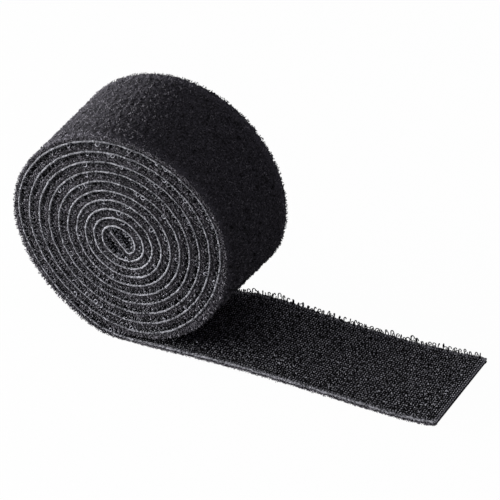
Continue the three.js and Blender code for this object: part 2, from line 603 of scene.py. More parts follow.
class Shape:
    """Collects the corners and faces of one piece on the flat tape.

    The sides of strands are turned from a sideways direction that no strand quite takes.
    """

    sideways = (0.31, 0.17, 0.93)
    least_length = 1e-9
    most_smooth_corners = 4

    def __init__(self) -> None:
        """Starts an empty shape."""
        self.flat: list[np.ndarray] = []
        self.tones: list[np.ndarray] = []
        self.faces: list[np.ndarray] = []
        self.count = 0

    def add(self, flat: np.ndarray, faces: list[np.ndarray], tones: np.ndarray) -> None:
        """Adds corners with the faces between them.

        Args:
            flat: Corners on the flat tape, one row each.
            faces: Arrays of faces that index those corners, each of one number of corners.
            tones: How light each corner's strand is, from 0 to 1.
        """
        self.flat.append(flat)
        self.tones.append(tones)
        self.faces.extend(array + self.count for array in faces)
        self.count += len(flat)

    def strip(
        self,
        travel: np.ndarray,
        section: np.ndarray,
        relief: np.ndarray | float = 0.0,
        tones: np.ndarray | float = 0.5,
    ) -> None:
        """Adds a closed band that carries a section along the tape.

        Args:
            travel: The places along the tape that have a ring of corners.
            section: The ring's distances outward and places across, one row each.
            relief: How far each corner is moved, by ring, corner, and outward or across.
            tones: How light each corner is, by ring and corner, or for all.
        """
        rings, corners = len(travel), len(section)
        flat = np.empty((rings, corners, 3))
        flat[:, :, 0] = travel[:, None]
        flat[:, :, 1:] = section + relief
        index = np.arange(rings * corners).reshape(rings, corners)
        turned = np.roll(index, -1, axis=1)
        quads = np.stack([index[:-1], turned[:-1], turned[1:], index[1:]], axis=-1)
        faces = [quads.reshape(-1, 4), index[0][::-1][None], index[-1][None]]
        self.add(flat.reshape(-1, 3), faces, np.broadcast_to(tones, index.shape).ravel())

    def strands(
        self, centres: np.ndarray, radii: np.ndarray, sides: int, tones: np.ndarray, pointed: bool
    ) -> None:
        """Adds strands, closed at both ends.

        Args:
            centres: Middle points of each strand, by strand, point, and flat direction.
            radii: The radius at each point, by strand and point.
            sides: How many sides a strand has.
            tones: How light each strand is at each point, from 0 to 1.
            pointed: Whether the last point is a tip, where the sides meet.
        """
        count, points, _ = centres.shape
        along = unit(np.gradient(centres, axis=1), self.least_length)
        chord = centres[:, -1] - centres[:, 0]
        side = np.cross(chord, self.sideways)[:, None]
        side = unit(np.cross(along, np.cross(side, along)), self.least_length)
        other = np.cross(along, side)
        angles = FULL_TURN * np.arange(sides)[:, None] / sides
        ring = side[:, :, None] * np.cos(angles) + other[:, :, None] * np.sin(angles)
        flat = centres[:, :, None] + ring * radii[:, :, None, None]
        rings = points - 1 if pointed else points
        corners = rings * sides + (1 if pointed else 0)
        first = np.arange(count)[:, None, None] * corners
        index = first + np.arange(rings * sides).reshape(1, rings, sides)
        turned = np.roll(index, -1, axis=2)
        quads = np.stack([index[:, :-1], turned[:, :-1], turned[:, 1:], index[:, 1:]], axis=-1)
        body = flat[:, :rings].reshape(count, -1, 3)
        shades = np.repeat(tones[:, :rings], sides, axis=1)
        faces = [quads.reshape(-1, 4), index[:, 0, ::-1]]
        if pointed:
            body = np.concatenate([body, centres[:, -1:]], axis=1)
            shades = np.concatenate([shades, tones[:, -1:]], axis=1)
            tip = np.broadcast_to(first[:, 0] + rings * sides, (count, sides))
            faces.append(np.stack([index[:, -1], turned[:, -1], tip], axis=-1).reshape(-1, 3))
        else:
            faces.append(index[:, -1])
        self.add(body.reshape(-1, 3), faces, shades.ravel())

    def piece(self, name: str, path: TapePath, finish: bpy.types.Material) -> bpy.types.Object:
        """Makes the object, with the places on the flat tape kept for its finish.

        Bands and strands are shaded smooth, and the many-cornered caps that close them are flat.

        Args:
            name: The piece's name.
            path: The tape's path.
            finish: The material of all its faces.

        Returns:
            The new object.
        """
        flat = np.concatenate(self.flat)
        points = path.place(flat) * MILLIMETRE
        mesh = bpy.data.meshes.new(name)
        mesh.vertices.add(len(points))
        mesh.vertices.foreach_set("co", points.astype(np.float32).ravel())
        corners = np.concatenate([array.ravel() for array in self.faces])
        sizes = np.concatenate([np.full(len(array), array.shape[1]) for array in self.faces])
        starts = np.concatenate([[0], np.cumsum(sizes)[:-1]])
        mesh.loops.add(len(corners))
        mesh.loops.foreach_set("vertex_index", corners.astype(np.int32))
        mesh.polygons.add(len(sizes))
        mesh.polygons.foreach_set("loop_start", starts.astype(np.int32))
        mesh.polygons.foreach_set("loop_total", sizes.astype(np.int32))
        mesh.polygons.foreach_set("use_smooth", sizes <= self.most_smooth_corners)
        mesh.update(calc_edges=True)
        places = mesh.attributes.new(TAPE_PLACE, "FLOAT_VECTOR", "POINT")
        places.data.foreach_set("vector", flat.astype(np.float32).ravel())
        tones = mesh.attributes.new(STRAND_TONE, "FLOAT", "POINT")
        tones.data.foreach_set("value", np.concatenate(self.tones).astype(np.float32))
        mesh.materials.append(finish)
        return new_object(name, mesh)


@dataclass(frozen=True)
class Ripples:
    """Smooth random relief from crossed waves, the same on every run."""

    height: float
    wavelength: float
    seed: int
    waves: int = 14
    wavelength_range: tuple[float, float] = (0.6, 1.7)

    def at(self, travel: np.ndarray, across: np.ndarray) -> np.ndarray:
        """The relief at places on the tape.

        Args:
            travel: Places along the tape.
            across: Places across the tape.

        Returns:
            Heights, mostly within the ripples' own height.
        """
        rng = np.random.default_rng(self.seed)
        total = np.zeros(np.broadcast(travel, across).shape)
        for _ in range(self.waves):
            heading, phase = rng.uniform(0, FULL_TURN, 2)
            pace = FULL_TURN / (self.wavelength * rng.uniform(*self.wavelength_range))
            total += np.cos(pace * (travel * math.cos(heading) + across * math.sin(heading)) + phase)
        return self.height * total / math.sqrt(self.waves)


@dataclass(frozen=True)
class Shades:
    """How light strands are: drawn from a base tone over a span, from 0 to 1.

    More pull toward light makes most of them light, and more toward dark makes them dark.
    """

    base: float
    span: float
    light_pull: float
    dark_pull: float

    def drawn(self, rng: np.random.Generator, count: int) -> np.ndarray:
        """Draws the tones of so many strands."""
        return self.base + self.span * rng.beta(self.light_pull, self.dark_pull, count)


def scattered(
    start: float, end: float, low: float, high: float, spacing: float, rng: np.random.Generator
) -> tuple[np.ndarray, np.ndarray]:
    """Places strewn over an area, one in each cell of a grid.

    Args:
        start: Where the area starts along the tape.
        end: Where it ends along the tape.
        low: Where it starts in the other direction.
        high: Where it ends in the other direction.
        spacing: The size of a cell.
        rng: The source of random numbers.

    Returns:
        The places along the tape and in the other direction.
    """
    columns = max(round((end - start) / spacing), 1)
    rows = max(round((high - low) / spacing), 1)
    column, row = np.meshgrid(np.arange(columns), np.arange(rows), indexing="ij")
    jitter = rng.uniform(0, 1, (2, columns, rows))
    along = start + (column + jitter[0]) * (end - start) / columns
    other = low + (row + jitter[1]) * (high - low) / rows
    return along.ravel(), other.ravel()


def linear(colour: str) -> tuple[float, float, float, float]:
    """Turns an sRGB colour to the linear one that shaders take, by the standard's formula.

    Args:
        colour: Six hexadecimal digits after a hash sign.

    Returns:
        Red, green, blue and alpha.
    """
    shares = [int(colour[place : place + 2], 16) / 255 for place in (1, 3, 5)]
    red, green, blue = (
        share / 12.92 if share <= 0.04045 else ((share + 0.055) / 1.055) ** 2.4 for share in shares
    )
    return red, green, blue, 1.0


def add_node(
    tree: bpy.types.NodeTree, kind: str, settings: dict | None = None, links: dict | None = None
) -> bpy.types.Node:
    """Adds a shader node with its settings and links.

    Args:
        tree: The material's or world's node tree.
        kind: The node's type name, after the word that all shader nodes share.
        settings: Values by the name of a property, or by the name or index of an input.
        links: Output sockets by the name or index of the input that they feed.

    Returns:
        The new node.
    """
    node = tree.nodes.new(f"ShaderNode{kind}")
    for name, value in (settings or {}).items():
        if isinstance(name, int) or name in node.inputs:
            node.inputs[name].default_value = value
        else:
            setattr(node, name, value)
    for name, socket in (links or {}).items():
        tree.links.new(socket, node.inputs[name])
    return node


def new_finish(name: str) -> tuple[bpy.types.Material, bpy.types.NodeTree]:
    """Starts a material.

    Args:
        name: The material's name.

    Returns:
        The material and its node tree, which is empty.
    """
    material = bpy.data.materials.new(name)
    material.use_nodes = True
    material.node_tree.nodes.clear()
    return material, material.node_tree


def tape_marks(tree: bpy.types.NodeTree) -> tuple[bpy.types.NodeSocket, bpy.types.NodeSocket]:
    """Adds the nodes that read the marks on the corners of every piece.

    Args:
        tree: The material's node tree.

    Returns:
        The place on the flat tape, in millimetres, and the strand's tone.
    """
    place = add_node(tree, "Attribute", {"attribute_name": TAPE_PLACE})
    tone = add_node(tree, "Attribute", {"attribute_name": STRAND_TONE})
    return place.outputs["Vector"], tone.outputs["Fac"]


@dataclass(frozen=True)
class Mottle:
    """A mottled colour between a dark and a light one, at a real grain size.

    The grains are longer outward, from face to face of the tape, by the stretch. The spread is
    how much of the noise's range lies between the two colours: less of it is more contrast.
    """

    dark: str
    light: str
    grain: float
    stretch: float = 1.0
    spread: float = 0.28

    def colour(self, tree: bpy.types.NodeTree, place: bpy.types.NodeSocket) -> bpy.types.NodeSocket:
        """Adds the nodes that mottle a colour.

        Args:
            tree: The material's node tree.
            place: The place on the flat tape, in millimetres.

        Returns:
            The mottled colour.
        """
        scale = (1 / self.grain, 1 / (self.grain * self.stretch), 1 / self.grain)
        scaled = add_node(tree, "VectorMath", {"operation": "MULTIPLY", 1: scale}, {0: place})
        settings = {"Scale": 1.0, "Detail": 2.0, "Roughness": 0.6}
        noise = add_node(tree, "TexNoise", settings, {"Vector": scaled.outputs[0]})
        ramp = add_node(tree, "ValToRGB", links={"Fac": noise.outputs["Fac"]})
        ends = ((0.5 - self.spread / 2, self.dark), (0.5 + self.spread / 2, self.light))
        for element, (position, colour) in zip(ramp.color_ramp.elements, ends):
            element.position = position
            element.color = linear(colour)
        return ramp.outputs["Color"]


@dataclass(frozen=True)
class WovenNylon:
    """Ground cloth of the hook tape: nylon yarn in a tight plain weave, heat-set.

    The yarns' tops carry painted highlights as small pale specks, and the spaces between yarns are black
    nylon deepened with painted shade. Where two yarns cross, the colour is all painted shade below the one
    level and all painted highlight above the other.
    """

    # Painted shade between the yarns and painted highlights on their tops
    shaded_gaps: Mottle = Mottle("#030304", "#0a0a0c", 0.4, spread=0.14)
    glint_specks: Mottle = Mottle("#a2a2aa", "#f0f0f6", 0.3, spread=0.2)
    scuffed: Mottle = Mottle("#1c1c1f", "#c4c4ca", 0.3, spread=0.14)
    gap_level: float = 0.4
    full_glint_level: float = 0.72
    relief: float = 0.03
    roughness: float = 0.7

    def material(self) -> bpy.types.Material:
        """Makes the material.

        Returns:
            The new material.
        """
        material, tree = new_finish("woven nylon hook ground")
        place, worn = tape_marks(tree)
        axes = add_node(tree, "SeparateXYZ", links={0: place})
        waves = []
        for axis, pitch in (("X", PICK_PITCH), ("Z", WARP_PITCH)):
            pace = {"operation": "MULTIPLY", 1: FULL_TURN / pitch}
            phase = add_node(tree, "Math", pace, {0: axes.outputs[axis]})
            wave = add_node(tree, "Math", {"operation": "COSINE"}, {0: phase.outputs[0]})
            upward = {"operation": "MULTIPLY_ADD", 1: 0.5, 2: 0.5}
            waves.append(add_node(tree, "Math", upward, {0: wave.outputs[0]}).outputs[0])
        product = add_node(tree, "Math", {"operation": "MULTIPLY"}, {0: waves[0], 1: waves[1]})
        crossing = product.outputs[0]
        # Painted highlight where the weave stands high, painted shade below
        levels = {"From Min": self.gap_level, "From Max": self.full_glint_level}
        glint_share = add_node(tree, "MapRange", levels, {0: crossing}).outputs[0]
        colour = self.shaded_gaps.colour(tree, place)
        for share, over in ((glint_share, self.glint_specks), (worn, self.scuffed)):
            mixed = {"Factor": share, "A": colour, "B": over.colour(tree, place)}
            colour = add_node(tree, "Mix", {"data_type": "RGBA"}, mixed).outputs["Result"]
        depth = {"Strength": 0.8, "Distance": self.relief * MILLIMETRE}
        bump = add_node(tree, "Bump", depth, {"Height": crossing})
        shader = add_node(
            tree,
            "BsdfPrincipled",
            {"Roughness": self.roughness, "IOR": NYLON_IOR, "Specular IOR Level": 0.15},
            {"Base Color": colour, "Normal": bump.outputs["Normal"]},
        )
        add_node(tree, "OutputMaterial", links={"Surface": shader.outputs[0]})
        return material


@dataclass(frozen=True)
class StrandNylon:
    """Nylon drawn into filament or yarn, whose strands differ a little in how light they look.

    The tone of each strand, kept on its corners, picks its place between the two colours, and noise of the
    grain's size moves it up or down by half the unevenness at most. On the hooks and the nap the tones
    also carry painted light and painted shade.
    """

    name: str
    dark: str
    light: str
    roughness: float
    gloss: float
    sheen: float = 0.0
    grain: float = 0.35
    unevenness: float = 0.5

    def material(self) -> bpy.types.Material:
        """Makes the material.

        Returns:
            The new material.
        """
        material, tree = new_finish(self.name)
        place, tone = tape_marks(tree)
        noise = add_node(tree, "TexNoise", {"Scale": 1 / self.grain, "Detail": 2.0}, {"Vector": place})
        about_zero = {"operation": "MULTIPLY_ADD", 1: self.unevenness, 2: -self.unevenness / 2}
        offset = add_node(tree, "Math", about_zero, {0: noise.outputs["Fac"]})
        clamped_sum = {"operation": "ADD", "use_clamp": True}
        share = add_node(tree, "Math", clamped_sum, {0: tone, 1: offset.outputs[0]})
        ramp = add_node(tree, "ValToRGB", links={"Fac": share.outputs[0]})
        for element, colour in zip(ramp.color_ramp.elements, (self.dark, self.light)):
            element.color = linear(colour)
        shader = add_node(
            tree,
            "BsdfPrincipled",
            {
                "Roughness": self.roughness,
                "IOR": NYLON_IOR,
                "Specular IOR Level": self.gloss,
                "Sheen Weight": self.sheen,
                "Sheen Roughness": 0.5,
            },
            {"Base Color": ramp.outputs["Color"]},
        )
        add_node(tree, "OutputMaterial", links={"Surface": shader.outputs[0]})
        return material


@dataclass(frozen=True)
class MatteCloth:
    """A dull, uneven surface whose grain shows in its colour and as fine relief.

    The tone on its corners mixes a further colour into it: on the knitted ground, that of loose fibres
    standing up from its face, and painted light on its face near the edges.
    """

    name: str
    mottle: Mottle
    roughness: float
    relief: float
    lofted_and_painted_light: str = "#000000"

    def material(self) -> bpy.types.Material:
        """Makes the material.

        Returns:
            The new material.
        """
        material, tree = new_finish(self.name)
        place, tone = tape_marks(tree)
        mixed = {"Fac": tone, "Color1": self.mottle.colour(tree, place)}
        colour = add_node(tree, "MixRGB", {"Color2": linear(self.lofted_and_painted_light)}, mixed)
        grain = {"Scale": 2 / self.mottle.grain, "Detail": 4.0}
        noise = add_node(tree, "TexNoise", grain, {"Vector": place})
        depth = {"Strength": 1.0, "Distance": self.relief * MILLIMETRE}
        bump = add_node(tree, "Bump", depth, {"Height": noise.outputs["Fac"]})
        shader = add_node(
            tree,
            "BsdfPrincipled",
            {"Roughness": self.roughness, "Specular IOR Level": 0.2},
            {"Base Color": colour.outputs["Color"], "Normal": bump.outputs["Normal"]},
        )
        add_node(tree, "OutputMaterial", links={"Surface": shader.outputs[0]})
        return material


# Woven yarn, black with painted shade between its yarns and painted highlights as small specks on its
# loops and floats.
WOVEN_GROUND = WovenNylon()
# Extruded nylon filament, smooth and near black; its pale end is painted light: glints on the hooks'
# crowns and the stubs' tips, and light along the wound hooks.
HOOK_FILAMENT = StrandNylon("drawn nylon hook filament", "#030304", "#a6a6ae", 0.3, gloss=0.12)
# Slit ends of the ground's yarns, scuffed pale, which draw each turn as a light line.
CUT_YARN = StrandNylon("slit nylon yarn ends", "#1c1c20", "#97979d", 0.85, gloss=0.15)
# Cast adhesive between the two cloths, dark and slightly glossy where it is cut.
ADHESIVE = MatteCloth("cast laminating adhesive", Mottle("#0c0c0e", "#17181a", 0.6), 0.45, 0.01)
# Knitted nylon under the nap, its own dark colour deepened with painted shade, so it reads as a dark floor
# to the fibres.
KNIT_GROUND = MatteCloth(
    "knitted nylon loop ground", Mottle("#020203", "#38363c", 0.3, 1.6, 0.1), 0.95, 0.06, lofted_and_painted_light="#5c5a62"
)
# Brushed nylon nap: fine loose loops that scatter light softly and pale a little at grazing.
BRUSHED_NAP = StrandNylon("brushed nylon loop nap", "#050507", "#918e96", 0.8, gloss=0.1, sheen=0.03)


def band_section(
    faces: tuple[float, float], width: float, round_depth: float, rows: tuple[int, int], corners: int = 6
) -> np.ndarray:
    """The section of a band of cloth, with rounded sides.

    Args:
        faces: The distances outward of its inner and its outer face.
        width: Its width.
        round_depth: How far its sides' middles stand proud of their corners.
        rows: How many rows of corners lie within the inner and within the outer face.
        corners: How many corners each side has.

    Returns:
        The section as a ring of distances outward and places across.
    """
    reach = width / 2 - round_depth
    share = np.linspace(0, 1, corners)
    depth = reach + round_depth * np.sqrt(1 - (2 * share - 1) ** 2)
    ring = []
    for edge, (start, end), count in zip((Edge.FRONT, Edge.BACK), (faces, faces[::-1]), rows):
        face = np.linspace(-edge.value * reach, edge.value * reach, count + 2)[1:-1]
        ring.append(np.stack([np.full(count, start), face], axis=1))
        ring.append(np.stack([start + share * (end - start), edge.value * depth], axis=1))
    return np.concatenate(ring)


@dataclass(frozen=True)
class HookTape:
    """The hook tape: a woven ground with its slit edges, and the hooks that stand on it."""

    path: TapePath
    stretch: Stretch
    seed: int = 11
    fine_step: float = 0.22
    coarse_step: float = 0.8

    # The ground, scuffed pale along its margins
    hidden_rows: int = 8
    back_rows: int = 2
    rounding: float = 0.02
    pick_relief: float = 0.05
    warp_share: float = 0.7
    bare_edge: float = 0.75
    bare_cut: float = 0.35
    bare_cut_tone: float = 0.2

    # The slit edges, each a bead of yarn that swells and wanders
    edge_bead: float = 0.15
    bead_half: float = 0.21
    bead_sides: int = 6
    edge_proud: float = 0.03
    edge_swell: Ripples = Ripples(0.2, 0.5, 11)
    edge_apart: float = 40
    pick_swell: float = 0.1
    edge_drift: Ripples = Ripples(0.06, 3.1, 12)
    wound_wobble: Ripples = Ripples(0.06, 0.45, 14)
    laid_wobble: Ripples = Ripples(0.09, 0.45, 14)
    wound_edge_tone: float = 0.43
    laid_edge_tone: float = 0.54
    edge_patches: Ripples = Ripples(0.36, 0.38, 13)
    core_paler: float = 0.35

    # The frayed ends of yarn on those edges
    yarn_end_spacing: float = 0.27
    yarn_end_length: float = 0.3
    yarn_end_lengths: tuple[float, float] = (0.5, 1.3)
    yarn_end_radius: float = 0.075
    yarn_end_girths: tuple[float, float] = (0.8, 1.3)
    yarn_end_sides: int = 3
    yarn_end_spread: float = 0.9
    yarn_end_shades: Shades = Shades(0, 1, 1.2, 1.0)

    # Where hooks stand
    row_pitch: float = 2.2
    edge_margin: float = 0.2
    laid_front_margin: float = 0.5
    cut_margin: float = 0.45
    shown_columns: int = 3
    core_run: float = 36
    core_columns: int = 9
    foot_spread: float = 0.06
    root_depth: float = 0.06

    # A hook's form, and its turn and lean
    filament_radius: float = 0.1
    filament_sides: int = 4
    heights: tuple[float, float] = (0.9, 1.05)
    crown_radius: float = 0.28
    crowns: tuple[float, float] = (0.85, 1.2)
    crown_steps: int = 6
    sweep_degrees: tuple[float, float] = (165, 290)
    yaw_degrees: float = 26
    lean_spread: float = 0.12

    # Hooks of the free end, which grow taller away from the roll
    free_growth: float = 0.28
    growth_spread: float = 0.1
    tall_share: float = 0.14
    tall_growth: float = 0.5
    growth_start: float = 10
    growth_run: float = 9
    rim_girth: float = 1.1
    rim_twist: float = 2.2

    # Painted light on the hooks: a painted glint on their crowns, painted light along the wound ones'
    # shafts, and a few loose ones painted lit all over
    glint_start: float = 0.92
    glint_run: float = 0.08
    free_glint_shades: Shades = Shades(0.16, 0.66, 1.3, 1.8)
    rim_glint_share: float = 0.2
    wound_lit_shades: Shades = Shades(0, 0.75, 1.2, 1.4)
    shaft_lit_share: float = 0.45
    core_painted_light: float = 0.4
    loose_share: float = 0.1
    loose_painted_light: float = 0.78
    loose_crown: float = 1.45

    # The stubs beside them, with a painted glint at their tips
    stub_gap: float = 0.5
    stub_gap_spread: float = 0.12
    stub_share: float = 0.85
    stub_heights: tuple[float, float] = (0.6, 1.15)
    stub_points: tuple[float, ...] = (0, 0.6, 1.0)
    stub_glint_tones: tuple[float, ...] = (0, 0.1, 1.0)
    stub_lean: float = 0.22
    stub_glint_shades: Shades = Shades(0.1, 0.6, 1.2, 1.4)

    def ground(self, shown: bool) -> bpy.types.Object:
        """Weaves the ground.

        Args:
            shown: Whether its hook face shows, and has its yarns in relief.

        Returns:
            The new piece.
        """
        sizes = self.path.sizes
        rows = round(sizes.width / self.fine_step) if shown else self.hidden_rows
        width = sizes.width - 2 * self.edge_bead
        section = band_section((0, sizes.film_face), width, self.rounding, (rows, self.back_rows))
        travel = self.stretch.stations(self.fine_step if shown else self.coarse_step)
        relief = np.zeros((len(travel), len(section), 2))
        picks = np.cos(FULL_TURN * travel / PICK_PITCH)[:, None]
        ends = np.cos(FULL_TURN * section[:, 1] / WARP_PITCH)
        on_face = section[:, 0] == 0
        relief[:, :, 0] = -self.pick_relief * on_face * (picks + self.warp_share * ends) / 2
        from_side = (sizes.width / 2 - np.abs(section[:, 1])) / self.bare_edge
        from_cut = (travel - sizes.leave_x + sizes.cut_x)[:, None] / self.bare_cut
        side_tone, cut_tone = (1 - smoothstep(gap - 0.5) for gap in (from_side, from_cut))
        bare = np.maximum(side_tone, self.bare_cut_tone * cut_tone)
        shape = Shape()
        shape.strip(travel, section, relief, shown * bare)
        return shape.piece(f"hook_ground_{self.stretch.name}", self.path, WOVEN_GROUND.material())

    def cut_edges(self) -> bpy.types.Object:
        """Makes the slit edges, as an uneven row of yarn ends on each side.

        Returns:
            The new piece, whose yarn is paler toward the core and on the free end.
        """
        sizes = self.path.sizes
        travel = self.stretch.stations(self.fine_step)
        angles = FULL_TURN * np.arange(self.bead_sides) / self.bead_sides
        half = np.array([self.bead_half, self.edge_bead])
        ring = np.stack([np.cos(angles), np.sin(angles)], axis=1) * half
        picks = self.pick_swell * np.cos(FULL_TURN * travel / PICK_PITCH)
        wobble = self.laid_wobble if self.stretch.laid else self.wound_wobble
        base = self.laid_edge_tone if self.stretch.laid else self.wound_edge_tone
        shape = Shape()
        for edge in Edge:
            middle = edge.value * (sizes.width / 2 - self.edge_bead + self.edge_proud)
            section = [sizes.film_face / 2, middle] + ring
            thick = self.edge_swell.at(travel + self.edge_apart * edge.value, middle)
            relief = ring * (thick + picks)[:, None, None]
            relief[:, :, 0] += wobble.at(travel, middle)[:, None]
            relief[:, :, 1] += self.edge_drift.at(travel, middle)[:, None]
            place = travel[:, None]
            patches = self.edge_patches.at(place, section[:, 1] + relief[:, :, 1])
            tones = base + self.core_paler * self.path.core_share(place) + patches
            shape.strip(travel, section, relief, tones)
        rng = np.random.default_rng(self.seed + place_seed(self.stretch.start))
        for edge in Edge:
            self.yarn_ends(shape, edge, rng)
        return shape.piece(f"hook_edges_{self.stretch.name}", self.path, CUT_YARN.material())

    def yarn_ends(self, shape: Shape, edge: Edge, rng: np.random.Generator) -> None:
        """Adds the frayed ends of yarn that stand out of one slit edge.

        Args:
            shape: The shape that they are added to.
            edge: The edge of the tape.
            rng: The source of random numbers.
        """
        sizes = self.path.sizes
        spacing, spread = self.yarn_end_spacing, self.yarn_end_spread
        travel, outward = scattered(self.stretch.start, self.stretch.end, 0, sizes.film_face, spacing, rng)
        count = len(travel)
        way = unit(rng.normal(0, spread, (count, 3)) + np.array([0, 0, spread * edge.value]))
        across = np.full(count, edge.value * (sizes.width / 2 - self.edge_bead / 2))
        root = np.stack([travel, outward, across], axis=1)
        length = self.yarn_end_length * rng.uniform(*self.yarn_end_lengths, count)[:, None]
        centres = np.stack([root, root + way * length], axis=1)
        girth = rng.uniform(*self.yarn_end_girths, count)[:, None]
        radii = np.array([self.yarn_end_radius, 0.0]) * girth
        tones = np.repeat(self.yarn_end_shades.drawn(rng, count)[:, None], 2, axis=1)
        shape.strands(centres, radii, self.yarn_end_sides, tones, pointed=True)

    def hook_feet(self, shown: slice) -> np.ndarray:
        """Where the hooks stand.

        Their columns are staggered, and the outermost ones have a hook in every row.

        Args:
            shown: The columns that are made, counted from the front.

        Returns:
            The places along the tape and, in a second row, across it.
        """
        sizes = self.path.sizes
        half = sizes.width / 2 - self.edge_margin
        columns = round(2 * half / WARP_PITCH) + 1
        front = half + self.edge_margin - self.laid_front_margin if self.stretch.laid else half
        first_travel = sizes.leave_x - sizes.cut_x + self.cut_margin
        feet = []
        for column, place in list(enumerate(np.linspace(-front, half, columns)))[shown]:
            outermost = abs(place) > half - WARP_PITCH / 2
            pitch = self.row_pitch / 2 if outermost else self.row_pitch
            stagger = (column % 2) * self.row_pitch / 2
            first = math.ceil((self.stretch.start - stagger) / pitch)
            last = math.ceil((self.stretch.end - stagger) / pitch)
            travel = stagger + pitch * np.arange(first, last)
            travel = travel[travel > first_travel]
            feet.append(np.stack([travel, np.full(len(travel), place)]))
        return np.concatenate(feet, axis=1)

    def standing(
        self, feet: np.ndarray, heading: np.ndarray, reach: np.ndarray, lean: np.ndarray, rise: np.ndarray
    ) -> np.ndarray:
        """The middle points of filaments that stand on the ground, within the tape's edges.

        Args:
            feet: Where they stand along the tape and, in a second row, across it.
            heading: The directions that they face, along the tape and across it.
            reach: How far each point is from its foot in that direction.
            lean: How far they lean along the tape and across it, for each unit of height.
            rise: How high each point stands over its root.

        Returns:
            The points, by filament, point, and flat direction.
        """
        travel, across = feet[:, :, None] + heading[:, :, None] * reach + lean[:, :, None] * rise
        limit = self.path.sizes.width / 2
        return np.stack([travel, self.root_depth - rise, np.clip(across, -limit, limit)], axis=-1)

    def stubs(
        self,
        shape: Shape,
        feet: np.ndarray,
        heading: np.ndarray,
        height: np.ndarray,
        rng: np.random.Generator,
    ) -> None:
        """Adds the straight stub beside each hook, where its loop of filament was cut open.

        Args:
            shape: The shape that they are added to.
            feet: The hooks' places along the tape and, in a second row, across it.
            heading: The directions that the hooks face.
            height: The hooks' heights.
            rng: The source of random numbers.
        """
        count = len(height)
        length = height * self.stub_share * rng.uniform(*self.stub_heights, count)
        rise = np.array(self.stub_points) * length[:, None]
        lean = rng.normal(0, self.stub_lean, (2, count))
        gap = rng.normal(self.stub_gap, self.stub_gap_spread, count)
        centres = self.standing(feet - gap * heading, heading, np.zeros(rise.shape), lean, rise)
        # Painted glint at each stub's tip, none at its root
        tones = self.stub_glint_shades.drawn(rng, count)[:, None] * np.array(self.stub_glint_tones)
        radii = np.full(rise.shape, self.filament_radius)
        shape.strands(centres, radii, self.filament_sides, tones, pointed=False)

    def hooks(self, place: str, shown: slice, seed: int) -> bpy.types.Object:
        """Makes the hooks: canes of cut filament, turned and leaning a little.

        Args:
            place: The word for where they are, which ends the piece's name.
            shown: The columns that are made, counted from the front.
            seed: The seed of the hooks' differences.

        Returns:
            The new piece.
        """
        rng = np.random.default_rng(self.seed + seed)
        sizes = self.path.sizes
        feet = self.hook_feet(shown)
        travel, across = feet
        count = len(travel)
        height = sizes.hook_height * rng.uniform(*self.heights, count)
        if self.stretch.laid:
            growth = rng.normal(self.free_growth, self.growth_spread, count)
            tall = rng.uniform(0, 1, count) < self.tall_share
            growth += self.tall_growth * tall
            height *= 1 + growth * smoothstep(-(travel + self.growth_start) / self.growth_run)
        crown = self.crown_radius * rng.uniform(*self.crowns, count)
        loose = rng.uniform(0, 1, count) < self.loose_share
        crown = np.where(tall if self.stretch.laid else loose, crown * self.loose_crown, crown)[:, None]
        sweep = np.radians(rng.uniform(*self.sweep_degrees, count))
        facing = np.where(np.round(across / WARP_PITCH).astype(int) % 2, 1, -1)
        outermost = np.abs(across) > sizes.width / 2 - self.edge_margin - WARP_PITCH / 2
        rim = self.stretch.laid & outermost
        yaw = np.radians(rng.normal(0, self.yaw_degrees, count)) * np.where(rim, self.rim_twist, 1)
        heading = np.stack([facing * np.cos(yaw), np.sin(yaw)])
        lean = rng.normal(0, self.lean_spread, (count, 2)).T
        turn = np.linspace(0, 1, self.crown_steps + 1) * sweep[:, None]
        shaft = height[:, None] - crown + self.root_depth
        root = np.zeros((count, 1))
        reach = np.concatenate([root, crown * (1 - np.cos(turn))], axis=1)
        rise = np.concatenate([root, shaft + crown * np.sin(turn)], axis=1)
        wander = rng.normal(0, self.foot_spread, (2, count))
        centres = self.standing(feet + wander, heading, reach, lean, rise)
        girth = np.where(rim, self.rim_girth, 1)
        radii = self.filament_radius * girth[:, None] * np.ones(reach.shape)
        # Painted glint on each hook's crown, where it stands highest
        height_share = rise / rise.max(axis=1, keepdims=True)
        crown_glint = smoothstep((height_share - self.glint_start) / self.glint_run)
        if self.stretch.laid:
            tones = self.free_glint_shades.drawn(rng, count)[:, None] * crown_glint
            # The outermost column of the free end, seen against the white, keeps a fifth of its painted
            # glint
            tones *= np.where(outermost, self.rim_glint_share, 1)[:, None]
        else:
            # Wound hooks are painted lit along their shafts, more near the core, brightest at the crown;
            # loose ones are painted lit all over
            light = self.wound_lit_shades.drawn(rng, count)
            light += self.core_painted_light * (travel > self.stretch.end - self.core_run)
            tones = light[:, None] * (self.shaft_lit_share + (1 - self.shaft_lit_share) * crown_glint)
            tones = np.where(loose[:, None], self.loose_painted_light, tones)
        shape = Shape()
        shape.strands(centres, radii, self.filament_sides, tones, pointed=False)
        self.stubs(shape, feet, heading, height, rng)
        return shape.piece(f"hooks_{place}", self.path, HOOK_FILAMENT.material())


@dataclass(frozen=True)
class BondFilm:
    """The adhesive film that holds the two tapes back to back."""

    path: TapePath
    stretch: Stretch
    setback: float = 0.12
    rounding: float = 0.01
    rows: int = 3
    step: float = 0.8

    def film(self) -> bpy.types.Object:
        """Makes the film.

        Returns:
            The new piece.
        """
        sizes = self.path.sizes
        faces = (sizes.film_face, sizes.loop_ground_face)
        width = sizes.width - 2 * self.setback
        section = band_section(faces, width, self.rounding, (self.rows, self.rows))
        shape = Shape()
        shape.strip(self.stretch.stations(self.step), section)
        return shape.piece(f"film_{self.stretch.name}", self.path, ADHESIVE.material())


@dataclass(frozen=True)
class Pile:
    """How the loop tape's pile stands on the winding or lies under the free end.

    The nap takes its own way. The fuzz along the edges rises, starts up to some distance over
    the pile's depth, and is lighter by so much.
    """

    depth: float
    length_share: float
    nap_way: tuple[float, float, float]
    fuzz_rise: float
    fuzz_over: float
    fuzz_light: float


